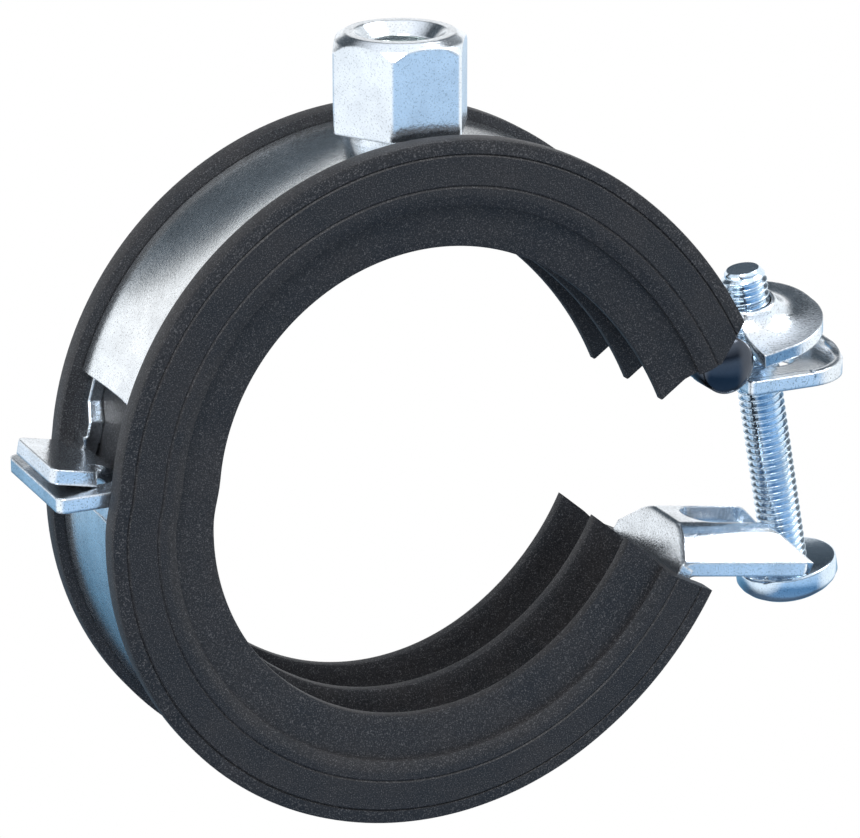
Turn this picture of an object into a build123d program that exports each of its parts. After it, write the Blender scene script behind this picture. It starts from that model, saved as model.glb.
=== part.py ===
from build123d import *
from math import atan2, cos, degrees, radians, sin, sqrt, tan
import os

# Rubber lined pipe clamp, millimetres, +Z up.
# The origin is the pipe's axis at the middle of the strap's width. The pipe runs along Y,
# the hinge is at -X, the closing screw at +X and the threaded boss on top.
# Angles round the ring are measured from +X towards +Z.

# Ring
pipe_diameter = 48.3
rib_squeeze = 0.5
rib_crest_radius = pipe_diameter / 2 - rib_squeeze
rib_height = 4.5
lining_base = 3.5
strap_inner_radius = rib_crest_radius + rib_height + lining_base
strap_width = 15.0
strap_thickness = 1.5
strap_crown = 0.3
seat_clearance = 0.05

# Rubber lining: a channel that holds the strap, with three ribs inside
lip_wall = 2.45
lip_stand = 1.75
lip_overhang = 0.15
rib_count = 3
rib_pitch = 7.7
rib_land = 1.2
rib_front_slope = 0.5
rib_rear_slope = 0.8
face_depth = 5.7
bead_round = 0.45
bead_notch = 0.4
bead_gap = 0.3

# Halves: each is round, then opens out a little towards the closing side
upper_flare_start = 55.0
upper_flare = 13.0
upper_band_end = 25.0
lower_centre = (-0.7, -3.0)
lower_flare_start = -60.0
lower_flare = 4.7

# Cut ends of the lining on the closing side, from the inside out: how far each point stands
# outside the strap's inner radius, and its height
upper_cut = [(-5.15, 4.2), (-2.95, 6.0), (0.65, 7.6), (3.45, 12.1)]
lower_cut = [(-10.25, -10.1), (-6.65, -13.2), (-4.75, -15.2), (0.25, -17.8)]
hinge_room_bottom = -2.0
hinge_room_top = 5.2
hinge_split_height = 1.0
hinge_split_gap = 0.3
hinge_split_slope = 6.0

# Hinge of crossed plates
hinge_plate_top = 2.6
hinge_plate_length = 7.1
hinge_bend_radius = 1.0
window_top = 10.3
window_half = 5.8
window_waist_half = 4.3
window_waist_height = 5.9
neck_half = 2.9
head_half = 5.5
head_lift_angle = 11.5
head_seat_gap = 0.15
hinge_pivot_reach = 2.7

# Closing side of the upper strap. What reaches out is measured from the strap's inner radius.
ear_bottom = 2.6
ear_half = 7.6
ear_start_reach = 5.65
ear_end_reach = 19.5
ear_nose_radius = 6.4
ear_rim = 1.2
ear_dish = 0.35
ear_slot_start_reach = 6.85
ear_slot_end_reach = 14.75
curl_reach = 2.95
curl_height = 6.2
curl_outer_radius = 3.0
curl_gap_half = 3.8
curl_half = 7.2

# Closing screw, M5, and its nut plate
screw_radius = 2.45
screw_lean = 10.5
screw_tip_reach = 8.25
screw_tip_height = 13.8
screw_head_top = -19.75
screw_head_radius = 5.65
screw_head_rim = 1.9
screw_head_dome = 2.4
screw_slot_width = 1.4
screw_slot_depth = 1.9
thread_clearance = 0.05
slot_clearance = 0.45

nut_plate_thickness = 1.5
nut_plate_top = 6.3
nut_plate_half = 7.7
nut_plate_back = 2.4
nut_plate_front = 7.6
nut_plate_tongue = 4.3
tongue_half = 3.5
collar_height = 3.5
collar_top_radius = 3.3
collar_foot_radius = 5.4

# Lower ear: a raised fork that the screw swings into
fork_start_angle = -21.8
fork_start_stand = 1.0
fork_slope = -9.0
fork_length = 16.2
fork_end_chamfer = 1.1
fork_half = 7.5
fork_bend_radius = 2.4
fork_rise = 2.2
fork_top_half = 4.6
fork_top_start = 3.4
fork_top_end = 12.0
fork_slot_start = 3.4

# Connection boss, M8
boss_across_flats = 13.0
boss_stand = 1.0
boss_height = 9.9
boss_edge_radius = 0.8
boss_crown_radius = 5.7
boss_crown_drop = 1.7
boss_thread_radius = 3.4
boss_mouth_radius = 4.7
boss_spigot_radius = 5.2

half_strap = strap_width / 2
curl_centre = (strap_inner_radius + curl_reach, curl_height)
screw_tip = (strap_inner_radius + screw_tip_reach, screw_tip_height)
ear_start = strap_inner_radius + ear_start_reach
ear_end = strap_inner_radius + ear_end_reach
ear_slot_start = strap_inner_radius + ear_slot_start_reach
ear_slot_end = strap_inner_radius + ear_slot_end_reach
strap_outer_radius = strap_inner_radius + strap_thickness + strap_crown / 2
half_lining = half_strap + seat_clearance + lip_wall
lip_radius = strap_outer_radius + lip_stand
hinge_plate_end = -strap_outer_radius - hinge_plate_length
hinge_pivot = (-strap_outer_radius - hinge_pivot_reach, hinge_plate_top)
boss_bottom = strap_outer_radius + boss_stand
fork_start = (
    lower_centre[0] + (strap_inner_radius + fork_start_stand) * cos(radians(fork_start_angle)),
    lower_centre[1] + (strap_inner_radius + fork_start_stand) * sin(radians(fork_start_angle)),
)
far = 2 * lip_radius
screw_axis = (-sin(radians(screw_lean)), cos(radians(screw_lean)))


def turn(shape, start, centre=(0, 0)):
    return Pos(centre[0], 0, centre[1]) * (Rot(0, -start, 0) * shape)


def sweep_ring(profile, start, end, centre=(0, 0)):
    ring = revolve(profile, Axis((0, 0, 0), (0, -1, 0)), end - start)
    return turn(ring, start, centre)


def flare_centre(start, flare, centre=(0, 0)):
    return (
        centre[0] - flare * cos(radians(start)),
        centre[1] - flare * sin(radians(start)),
    )


def side_slab(points, y_low, y_high):
    # A prism along Y whose outline is given in the XZ plane.
    outline = make_face(Plane.XZ * Polyline(*points, close=True))
    return Pos(0, y_high, 0) * extrude(outline, y_high - y_low, dir=(0, -1, 0))


def side_prism(outline, y_low, y_high):
    face = make_face(Plane.XZ * outline)
    return Pos(0, y_high, 0) * extrude(face, y_high - y_low, dir=(0, -1, 0))


def strap_profile(shift=0.0):
    inner = strap_inner_radius + shift
    edge = inner + strap_thickness - strap_crown / 2
    crown = inner + strap_thickness + strap_crown / 2
    outline = Polyline((edge, -half_strap), (inner, -half_strap), (inner, half_strap), (edge, half_strap))
    outline += ThreePointArc((edge, half_strap), (crown, 0), (edge, -half_strap))
    return make_face(outline)


def rib_outline(middle, floor, crest):
    # From the rear flank's foot over the crest to the broader front flank's foot.
    rear, front = middle + rib_land / 2, middle - rib_land / 2
    return [
        (floor, rear + rib_rear_slope),
        (crest, rear),
        (crest, front),
        (floor, front - rib_front_slope),
    ]


def bead_outline(foot, face, floor, side):
    # The rounded bead between a face of the lining and the notch beside the first rib.
    edge = side * half_lining
    return [
        (floor + bead_notch, foot + side * bead_gap / 2),
        (floor, foot + side * bead_gap),
        (floor, edge - side * bead_round),
        (face, edge),
    ]


def lining_profile(shift=0.0):
    lip = lip_radius + shift
    seat = strap_inner_radius - seat_clearance + shift
    hook = strap_inner_radius + strap_thickness - strap_crown / 2 + seat_clearance + 0.06 + shift
    crest = rib_crest_radius + shift
    floor = crest + rib_height
    face = lip - face_depth
    channel = half_strap + seat_clearance
    lip_edge = half_strap - lip_overhang
    points = [(lip, -half_lining), (lip, -lip_edge - 0.3), (hook, -lip_edge), (hook, -channel)]
    points += [(seat, -channel), (seat, channel)]
    points += [(hook, channel), (hook, lip_edge), (lip, lip_edge + 0.3), (lip, half_lining)]
    middles = [(k - (rib_count - 1) / 2) * rib_pitch for k in reversed(range(rib_count))]
    ribs = [rib_outline(middle, floor, crest) for middle in middles]
    points += list(reversed(bead_outline(ribs[0][0][1], face, floor, 1)))
    for rib in ribs:
        points += rib
    points += bead_outline(ribs[-1][-1][1], face, floor, -1)
    return make_face(Polyline(*points, close=True))


def upper_ring(profile, end_angle, last_angle):
    centre = flare_centre(upper_flare_start, upper_flare)
    ring = sweep_ring(profile(), upper_flare_start, end_angle)
    return ring + sweep_ring(profile(upper_flare), last_angle, upper_flare_start, centre)


def lower_ring(profile, first_angle, end_angle):
    # Angles are round the lower half's own centre.
    centre = flare_centre(lower_flare_start, lower_flare, lower_centre)
    ring = sweep_ring(profile(), first_angle, lower_flare_start, lower_centre)
    return ring + sweep_ring(profile(lower_flare), lower_flare_start, end_angle, centre)


def rounded_plate(x_low, x_high, half, radius_low, radius_high, z_low, z_high):
    # A flat plate with its own corner radius at each end.
    plate = Pos((x_low + x_high) / 2, 0, 0) * Rectangle(x_high - x_low, 2 * half)
    corners = plate.vertices().sort_by(Axis.X)
    plate = fillet(corners[:2], radius_low)
    corners = [v for v in plate.vertices() if v.X > x_high - 0.01]
    plate = fillet(corners, radius_high)
    return Pos(0, 0, z_low) * extrude(plate, z_high - z_low)


def slot_hole(x_low, x_high, half, z_low, z_high):
    outline = Pos((x_low + x_high) / 2, 0, 0) * SlotOverall(x_high - x_low, 2 * half)
    return Pos(0, 0, z_low) * extrude(outline, z_high - z_low)


def bent_strip(top, radius, half):
    # Strap bent once; its thickness lies to the right of the way along the top points.
    thick = strap_thickness
    (x0, z0), (x1, z1), (x2, z2) = top
    d1, d2 = Vector(x1 - x0, z1 - z0).normalized(), Vector(x2 - x1, z2 - z1).normalized()
    n1, n2 = Vector(d1.Y, -d1.X), Vector(d2.Y, -d2.X)
    mitre = (n1 + n2) * (thick / (1 + n1.dot(n2)))
    under = [
        (x0 + thick * n1.X, z0 + thick * n1.Y),
        (x1 + mitre.X, z1 + mitre.Y),
        (x2 + thick * n2.X, z2 + thick * n2.Y),
    ]
    outline = FilletPolyline(*top, radius=radius)
    outline += Line(top[2], under[2])
    outline += FilletPolyline(*reversed(under), radius=radius - thick)
    outline += Line(under[0], top[0])
    return side_prism(outline, -half, half)


def bent_leg(leg_x, plate_top, plate_end, leg_top, half):
    # A leg going down that turns out to a plate; leg_x is its outer face.
    thick = strap_thickness
    radius = hinge_bend_radius
    corner = (leg_x - radius, plate_top + radius)
    outline = Line((leg_x, leg_top), (leg_x, corner[1]))
    outline += RadiusArc((leg_x, corner[1]), (corner[0], plate_top), radius)
    outline += Line((corner[0], plate_top), (plate_end, plate_top))
    outline += Line((plate_end, plate_top), (plate_end, plate_top - thick))
    outline += Line((plate_end, plate_top - thick), (corner[0], plate_top - thick))
    outline += RadiusArc((corner[0], plate_top - thick), (leg_x + thick, corner[1]), -radius - thick)
    outline += Line((leg_x + thick, corner[1]), (leg_x + thick, leg_top))
    outline += Line((leg_x + thick, leg_top), (leg_x, leg_top))
    return side_prism(outline, -half, half)


def hinge_window():
    # Keyhole seen along X: wide at the top, a waist, then the neck's room.
    low = hinge_plate_top + hinge_bend_radius
    side = [
        (window_half, window_top),
        (window_half, window_waist_height + 1.8),
        (window_waist_half, window_waist_height),
        (window_waist_half + 0.3, low),
        (window_waist_half + 0.3, hinge_plate_top - 2 * strap_thickness),
    ]
    points = side + [(-y, z) for y, z in reversed(side)]
    outline = make_face(Plane.YZ * Polyline(*points, close=True))
    depth = hinge_bend_radius + 3 * strap_thickness
    return Pos(hinge_pivot[0] + 0.35, 0, 0) * extrude(outline, depth, dir=(1, 0, 0))


def upper_ear():
    top = ear_bottom + strap_thickness
    plate = rounded_plate(ear_start, ear_end, ear_half, 0.8, ear_nose_radius, ear_bottom, top)
    dish = rounded_plate(
        ear_start - 1,
        ear_end - ear_rim,
        ear_half - ear_rim,
        0.5,
        ear_nose_radius - ear_rim,
        top - ear_dish,
        top + 1,
    )
    hole = slot_hole(ear_slot_start, ear_slot_end, screw_radius + slot_clearance, ear_bottom - 1, top + 1)
    return plate - dish - hole


def ear_root(exit_outer, exit_inner):
    # Middle of the strap: from the end of the band down and out to the ear.
    top = ear_bottom + strap_thickness - ear_dish
    bend = 1.6
    low = exit_outer[0] + bend
    outline = Line(exit_outer, (exit_outer[0] + 0.3, top + bend))
    outline += RadiusArc((exit_outer[0] + 0.3, top + bend), (low + 0.3, top), bend)
    outline += Line((low + 0.3, top), (ear_slot_start - 0.2, top))
    outline += Line((ear_slot_start - 0.2, top), (ear_slot_start - 0.2, ear_bottom))
    outline += Line((ear_slot_start - 0.2, ear_bottom), (low - 0.6, ear_bottom))
    reach = low - 0.6 - exit_inner[0] - 0.3
    outline += Spline(
        (low - 0.6, ear_bottom),
        (exit_inner[0] + 0.3, ear_bottom + reach * 1.25),
        tangents=((-1, 0), (-0.05, 1)),
    )
    outline += Line((exit_inner[0] + 0.3, ear_bottom + reach * 1.25), exit_inner)
    outline += Line(exit_inner, exit_outer)
    return side_prism(outline, -curl_gap_half + 0.1, curl_gap_half - 0.1)


def edge_curl(exit_outer, exit_inner):
    # Both edges of the strap curl in under the cut end of the lining.
    inner = curl_outer_radius - strap_thickness
    x, z = curl_centre
    first, last = 48.0, -160.0

    def at(radius, angle):
        return (x + radius * cos(radians(angle)), z + radius * sin(radians(angle)))

    middle = (first + last) / 2
    tip = (curl_outer_radius + inner) / 2
    outline = Line(exit_outer, at(curl_outer_radius, first))
    outline += ThreePointArc(
        at(curl_outer_radius, first), at(curl_outer_radius, middle), at(curl_outer_radius, last)
    )
    outline += ThreePointArc(at(curl_outer_radius, last), at(tip, last - 14), at(inner, last))
    outline += ThreePointArc(at(inner, last), at(inner, middle), at(inner, first))
    outline += Line(at(inner, first), exit_inner)
    outline += Line(exit_inner, exit_outer)
    curl = side_prism(outline, curl_gap_half, curl_half)
    return curl + mirror(curl, Plane.XZ)


def make_upper_strap():
    centre = flare_centre(upper_flare_start, upper_flare)
    exit_angle = radians(upper_band_end)
    inner = strap_inner_radius + upper_flare
    outer = inner + strap_thickness
    exit_inner = (centre[0] + inner * cos(exit_angle), centre[1] + inner * sin(exit_angle))
    exit_outer = (centre[0] + outer * cos(exit_angle), centre[1] + outer * sin(exit_angle))
    leg_angle = degrees(atan2(hinge_plate_top + hinge_bend_radius + 0.1, -strap_outer_radius))
    band = upper_ring(strap_profile, leg_angle, upper_band_end)
    leg_x = -sqrt(strap_outer_radius**2 - (hinge_plate_top + hinge_bend_radius) ** 2) - 0.1
    leg = bent_leg(leg_x, hinge_plate_top, hinge_plate_end, hinge_plate_top + hinge_bend_radius + 0.8, half_strap)
    corners = leg.edges().filter_by(Axis.Z).group_by(Axis.X)[0]
    leg = fillet(corners, 1.0)
    strap = band + leg - hinge_window()
    strap = strap + ear_root(exit_outer, exit_inner) + edge_curl(exit_outer, exit_inner) + upper_ear()
    return strap


def fork_frame():
    return Pos(fork_start[0], 0, fork_start[1]) * Rot(0, -fork_slope, 0)


def fork_hump(base_z, inset):
    # A raised, flat topped form; base and top are rectangles in the fork's own frame.
    base = Pos(fork_length / 2, 0, base_z) * Rectangle(fork_length - 2 * inset, 2 * (fork_half - inset))
    length = fork_top_end - fork_top_start
    middle = (fork_top_end + fork_top_start) / 2
    top = Pos(middle, 0, base_z + fork_rise) * Rectangle(length - inset, 2 * fork_top_half - inset)
    return loft([base.face(), top.face()])


def make_fork():
    thick = strap_thickness
    plate = rounded_plate(1.9, fork_length, fork_half, 0.1, 1.2, -thick, 0)
    body = plate + fork_hump(0, 0.02) - fork_hump(-thick, 0.9)
    slot_half = screw_radius + slot_clearance
    reach = fork_length + 6
    slot = slot_hole(fork_slot_start, reach, slot_half, -4, fork_rise + 2)
    toe = [
        (fork_length - fork_end_chamfer, -thick - 0.01),
        (fork_length + 1, -thick - 0.01),
        (fork_length + 1, -thick + fork_end_chamfer + 1),
    ]
    return fork_frame() * (body - slot - side_slab(toe, -strap_width, strap_width))


def make_fork_root(exit_angle):
    # The band leaves its circle just inside the lining's cut and bends out to the fork.
    centre = flare_centre(lower_flare_start, lower_flare, lower_centre)
    inner = strap_inner_radius + lower_flare
    angle, slope = radians(exit_angle), radians(fork_slope)
    start = (centre[0] + inner * cos(angle), centre[1] + inner * sin(angle))
    way = (-sin(angle), cos(angle))
    along = (cos(slope), sin(slope))
    # Where the band's inner line meets the fork's top line
    cross = way[0] * along[1] - way[1] * along[0]
    gap = (fork_start[0] - start[0], fork_start[1] - start[1])
    reach = (gap[0] * along[1] - gap[1] * along[0]) / cross
    corner = (start[0] + reach * way[0], start[1] + reach * way[1])
    back = (start[0] - 0.4 * way[0], start[1] - 0.4 * way[1])
    end = (corner[0] + 2.6 * along[0], corner[1] + 2.6 * along[1])
    return bent_strip([back, corner, end], fork_bend_radius, half_strap)


def make_neck_and_head():
    # The neck rises through the window and turns out to the T head on the plate.
    thick = strap_thickness
    x, z = lower_centre
    leg_x = x - sqrt(strap_outer_radius**2 - 3.0**2)
    lift = radians(head_lift_angle)
    seat = (hinge_pivot[0], hinge_plate_top + head_seat_gap)
    out = (-cos(lift), sin(lift))
    up = (sin(lift), cos(lift))
    reach = (hinge_pivot[0] - hinge_plate_end) / cos(lift)
    end = (seat[0] + reach * out[0], seat[1] + reach * out[1])
    start = (seat[0] - 0.5 * out[0], seat[1] - 0.5 * out[1])
    foot = -1.6

    def raised(point):
        return (point[0] + thick * up[0], point[1] + thick * up[1])

    outline = Line((leg_x, foot), (leg_x, start[1] - 0.9))
    outline += Spline((leg_x, start[1] - 0.9), start, tangents=((0, 1), out))
    outline += Line(start, end)
    outline += Line(end, raised(end))
    outline += Line(raised(end), raised(start))
    outline += Spline(raised(start), (leg_x + thick, start[1] - 0.7), tangents=((-out[0], -out[1]), (0, -1)))
    outline += Line((leg_x + thick, start[1] - 0.7), (leg_x + thick, foot))
    outline += Line((leg_x + thick, foot), (leg_x, foot))
    wide = side_prism(outline, -head_half, head_half)
    neck_box = Pos(hinge_pivot[0] + 3.6, 0, 2) * Box(8.6, 2 * neck_half, 12)
    head_box = Pos(hinge_plate_end + 2.0, 0, 5) * Box(5.6, 2 * head_half, 12)
    head = fillet((wide & head_box).edges().filter_by(Axis((0, 0, 0), (up[0], 0, up[1]))).group_by(Axis.X)[0], 0.9)
    return head + (wide & neck_box)


def make_lower_strap():
    exit_angle = -31.0
    shoulder = degrees(atan2(0.4 - lower_centre[1], -strap_outer_radius)) - 360
    band = lower_ring(strap_profile, shoulder, exit_angle)
    return band + make_neck_and_head() + make_fork_root(exit_angle) + make_fork()


def hinge_room():
    # Between the lips there is no rubber over the strap where the plates bend out.
    size = (strap_outer_radius, strap_width + 2 * seat_clearance, hinge_room_top - hinge_room_bottom)
    middle = (hinge_room_top + hinge_room_bottom) / 2
    return Pos(-strap_outer_radius * 1.5 + strap_thickness + 0.2, 0, middle) * Box(*size)


def fork_room():
    # The strap bends out between the lips, so the hooks over its edges stop there.
    width = strap_width + 2 * seat_clearance
    return fork_frame() * Pos(0, 0, 0.4) * Box(12, width, 6.6, align=(Align.MIN, Align.CENTER, Align.MAX))


def ear_room():
    # Between the lips the lining ends where the strap turns down to the ear and the curls.
    size = (12, strap_width + 2 * seat_clearance, 12)
    knee = upper_cut[2]
    place = Pos(strap_inner_radius + knee[0] + 0.65, 0, knee[1] + 0.8)
    return place * Box(*size, align=(Align.MIN, Align.CENTER, Align.MAX))


def cut_line(cut):
    # The cut's points in the XZ plane, with both end segments carried on past the rubber.
    points = [(strap_inner_radius + reach, height) for reach, height in cut]
    (x0, z0), (x1, z1) = points[:2]
    (x2, z2), (x3, z3) = points[-2:]
    first = strap_thickness * rib_height / (x1 - x0)
    last = strap_thickness * rib_height / (x3 - x2)
    start = (x0 - first * (x1 - x0), z0 - first * (z1 - z0))
    end = (x3 + last * (x3 - x2), z3 + last * (z3 - z2))
    return [start] + points + [end]


def make_upper_lining():
    ring = upper_ring(lining_profile, 184, 14)
    line = cut_line(upper_cut)
    waste = line + [(far, line[-1][1]), (far, -far), (line[0][0], -far)]
    below = [(-far, hinge_split_height), (0, hinge_split_height), (0, -far), (-far, -far)]
    ring = ring - side_slab(waste, -far, far) - side_slab(below, -far, far)
    return ring - hinge_room() - ear_room()


def make_lower_lining():
    ring = lower_ring(lining_profile, -188, -14)
    line = cut_line(lower_cut)
    waste = line + [(far, line[-1][1]), (far, far), (line[0][0], far)]
    level = hinge_split_height - hinge_split_gap
    drop = far * tan(radians(hinge_split_slope))
    start = -lip_radius - 1.0
    above = [(-far, level), (start, level), (start + far, level - drop), (start + far, far), (-far, far)]
    ring = ring - side_slab(waste, -far, far) - side_slab(above, -far, far) - hinge_room()
    return ring - fork_room()


def make_connection_boss(strap):
    top = boss_bottom + boss_height
    hexagon = RegularPolygon(boss_across_flats / 2, 6, major_radius=False)
    hexagon = fillet(hexagon.vertices(), boss_edge_radius)
    body = Pos(0, 0, boss_bottom) * extrude(hexagon, boss_height)
    corner = boss_across_flats / sqrt(3)
    mid = (boss_crown_radius + (corner - boss_crown_radius) * 0.6, top - boss_crown_drop * 0.4)
    profile = Polyline((0, top), (0, boss_bottom), (corner, boss_bottom), (corner, top - boss_crown_drop))
    profile += Polyline((corner, top - boss_crown_drop), mid, (boss_crown_radius, top), (0, top))
    cap = revolve(make_face(Plane.XZ * profile), Axis.Z)
    body = body & cap
    spigot = Pos(0, 0, boss_bottom - 2.5) * Cylinder(
        boss_spigot_radius, 2.5, align=(Align.CENTER, Align.CENTER, Align.MIN)
    )
    body = body + (spigot - strap)
    body = body.solids().sort_by(Axis.Z)[-1]
    bore = Pos(0, 0, strap_outer_radius + 0.02) * Cylinder(
        boss_thread_radius, 20, align=(Align.CENTER, Align.CENTER, Align.MIN)
    )
    mouth = Pos(0, 0, top) * Cone(
        boss_thread_radius - 0.6,
        boss_mouth_radius,
        boss_mouth_radius - boss_thread_radius + 0.6,
        align=(Align.CENTER, Align.CENTER, Align.MAX),
    )
    return body - bore - mouth


def screw_frame():
    # Z runs up the screw's axis; zero is where the nut plate's top face crosses it.
    drop = screw_tip[1] - nut_plate_top
    x = screw_tip[0] + drop * tan(radians(screw_lean))
    return Pos(x, 0, nut_plate_top) * Rot(0, -screw_lean, 0)


def make_nut_plate():
    thick = nut_plate_thickness
    plate = rounded_plate(-nut_plate_back, nut_plate_front, nut_plate_half, 0.9, 7.0, -thick, 0)
    tongue = Pos((-nut_plate_tongue) / 2, 0, -thick / 2) * Box(nut_plate_tongue, 2 * tongue_half, thick)
    profile = Polyline(
        (0, -0.01), (collar_foot_radius, -0.01), (collar_foot_radius, 0.12)
    )
    profile += Polyline(
        (collar_foot_radius, 0.12),
        (collar_top_radius + 0.85, 0.75),
        (collar_top_radius + 0.3, 1.9),
        (collar_top_radius + 0.05, collar_height - 0.3),
        (collar_top_radius - 0.25, collar_height),
        (0, collar_height),
        (0, -0.01),
    )
    collar = revolve(make_face(Plane.XZ * profile), Axis.Z)
    # The collar is drawn up out of the plate, so its foot ends where the plate does.
    size = 4 * nut_plate_half
    above_plate = Pos(-nut_plate_back, 0, 0) * Box(size, size, size, align=(Align.MIN, Align.CENTER, Align.CENTER))
    above_tongue = Pos(-nut_plate_tongue, 0, 0) * Box(
        size, 2 * tongue_half, size, align=(Align.MIN, Align.CENTER, Align.CENTER)
    )
    collar = collar & (above_plate + above_tongue)
    bore = Cylinder(screw_radius + thread_clearance, 20)
    return screw_frame() * (plate + tongue + collar - bore)


def make_closing_screw():
    rise = (screw_tip[1] - nut_plate_top) / cos(radians(screw_lean))
    fall = (nut_plate_top - screw_head_top) / cos(radians(screw_lean))
    shank = Pos(0, 0, -fall - 0.5) * Cylinder(
        screw_radius, rise + fall + 0.5, align=(Align.CENTER, Align.CENTER, Align.MIN)
    )
    shank = chamfer(shank.edges().group_by(Axis.Z)[-1], 0.55)
    dip = Pos(0, 0, rise) * Cone(0.3, 1.5, 0.7, align=(Align.CENTER, Align.CENTER, Align.MAX))
    low = screw_head_rim + screw_head_dome
    outline = Polyline((0, -low), (0, 0), (screw_head_radius - 0.25, 0), (screw_head_radius, -0.25))
    outline += Line((screw_head_radius, -0.25), (screw_head_radius, -screw_head_rim))
    outline += ThreePointArc(
        (screw_head_radius, -screw_head_rim),
        (screw_head_radius * 0.62, -screw_head_rim - screw_head_dome * 0.74),
        (0, -low),
    )
    head = revolve(make_face(Plane.XZ * outline), Axis.Z)
    slot = Pos(0, 0, -low) * Box(
        3 * screw_head_radius, screw_slot_width, 2 * screw_slot_depth
    )
    head = head - Rot(0, 0, 20) * slot
    return screw_frame() * (shank - dip + Pos(0, 0, -fall) * head)


def main():
    os.makedirs("parts", exist_ok=True)
    upper_strap = make_upper_strap()
    nodes = {
        "upper_strap": upper_strap,
        "lower_strap": make_lower_strap(),
        "upper_lining": make_upper_lining(),
        "lower_lining": make_lower_lining(),
        "connection_boss": make_connection_boss(upper_strap),
        "nut_plate": make_nut_plate(),
        "closing_screw": make_closing_screw(),
    }
    for name, shape in nodes.items():
        export_step(shape, f"parts/{name}.step")


main()
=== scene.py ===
from math import cos, exp, log, pi, radians, sin, sqrt, tan

import bpy
from mathutils import Matrix, Vector


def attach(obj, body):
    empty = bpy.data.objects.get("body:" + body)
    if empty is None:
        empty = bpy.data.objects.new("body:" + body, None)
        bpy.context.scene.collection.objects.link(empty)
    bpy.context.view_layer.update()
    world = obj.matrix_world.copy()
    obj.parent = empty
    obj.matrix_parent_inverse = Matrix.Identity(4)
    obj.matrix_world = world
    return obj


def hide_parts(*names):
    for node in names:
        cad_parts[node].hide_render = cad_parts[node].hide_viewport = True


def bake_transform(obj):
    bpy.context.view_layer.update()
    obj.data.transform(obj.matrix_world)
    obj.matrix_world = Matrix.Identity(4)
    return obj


MM = 0.001

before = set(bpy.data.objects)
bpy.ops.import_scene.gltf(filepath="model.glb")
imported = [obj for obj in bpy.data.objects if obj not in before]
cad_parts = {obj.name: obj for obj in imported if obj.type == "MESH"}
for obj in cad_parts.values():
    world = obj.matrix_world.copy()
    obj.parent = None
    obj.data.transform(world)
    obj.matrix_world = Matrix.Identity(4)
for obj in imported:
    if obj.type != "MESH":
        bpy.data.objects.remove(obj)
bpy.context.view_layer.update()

# Sizes of the real clamp, in millimetres
LIP_RADIUS = 35.05
LINING_HALF = 10.0
CHANNEL_HALF = 7.5
CHANNEL_RADIUS = 31.6
CREST_RADIUS = 23.65
RIB_HEIGHT = 4.5
RIB_PITCH = 7.7
FACE_RADIUS = 29.35
STRAP_RADIUS = 33.3
HINGE_WINDOW_ANGLE = 161.9
BAND_HALF = 7.35
BAND_RISE = 0.6
UPPER_FLARE_START = 55.0
UPPER_FLARE = 13.0
LOWER_CENTRE = (-0.7, -3.0)
LOWER_FLARE_START = -60.0
LOWER_FLARE = 4.7
UPPER_CUT = [(26.5, 4.2), (28.7, 6.0), (32.3, 7.6), (35.1, 12.1)]
LOWER_CUT = [(21.4, -10.1), (25.0, -13.2), (26.9, -15.2), (31.9, -17.8)]
SCREW_LEAN = 10.5
SCREW_TIP = (40.1, 14.3)
SCREW_HEAD_TOP = -19.75
SCREW_PITCH = 0.8
THREAD_ROOT = 2.02
THREAD_CREST = 2.46
HEAD_RADIUS = 5.6
HEAD_RIM = 1.8
HEAD_DOME = [(5.3, 0.55), (4.8, 1.05), (4.1, 1.5), (3.2, 1.9), (2.1, 2.2), (1.0, 2.35)]
DRIVE_SLOT = (14.0, 1.4, 3.6)
FORK_START = (29.615, -15.125)
FORK_SLOPE = -9.0
FORK_LENGTH = 16.2
FORK_HALF = 7.5
FORK_SLOT_START = 3.4
SLOT_HALF = 2.9
FORK_RAMP = 2.474
FORK_TAIL = 0.8
PLATE_THICKNESS = 1.5
NUT_PLATE_TOP = 6.3
NUT_PLATE_BACK = 2.6
NUT_PLATE_FRONT = 7.6
NUT_PLATE_HALF = 7.7
NUT_PLATE_NOSE = 7.0
NUT_PLATE_LIFT = 2.4
NUT_PLATE_TILT = 10.0
COLLAR_RADIUS = 2.46
COLLAR_RISE = 2.4
EAR_TOP = 4.1
EAR_END = 51.15
EAR_HALF = 7.6
EAR_NOSE = 6.4
CURL_PLACE = (34.6, 6.2)
CURL_RADIUS = 3.2
CURL_GAP_HALF = 3.7
CURL_PROFILE = [(0.0, -8.4), (1.2, -8.25), (2.1, -7.95), (2.8, -7.55), (3.07, -7.25), (3.07, -3.76), (0.0, -3.72)]
EAR_RIM_SECTION = [(-0.02, -0.9), (0.02, 0.0), (-0.25, 1.0), (-0.75, 1.0), (-1.15, 0.25), (-1.2, -0.9)]
BORE_RADIUS = 3.4
BORE_BOTTOM = 33.6
BORE_TOP = 42.9
BORE_PITCH = 1.25
THREAD_DEPTH = 0.42
FITTED = 0.03  # how far a pressed piece stands off the solid it is fitted over

# The camera: its focal length and picture width in pixels, turn and height in degrees, place in metres
FOCAL_PIXELS = 4000.0
PICTURE_WIDTH = 860.0
SENSOR = 36.0
AZIMUTH = -24.95
ELEVATION = 18.645
CAMERA_RIGHT, CAMERA_UP, CAMERA_BACK = 0.002987, 0.002866, 0.4159


# ---------------------------------------------------------------- materials


def start_material(name):
    material = bpy.data.materials.new(name)
    material.use_nodes = True
    tree = material.node_tree
    return material, tree.nodes, tree.links, tree.nodes["Principled BSDF"]


def noise(nodes, links, scale, detail=3.0, roughness=0.5, vector=None):
    node = nodes.new("ShaderNodeTexNoise")
    node.inputs["Scale"].default_value = scale
    node.inputs["Detail"].default_value = detail
    node.inputs["Roughness"].default_value = roughness
    if vector is not None:
        links.new(vector, node.inputs["Vector"])
    return node


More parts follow.
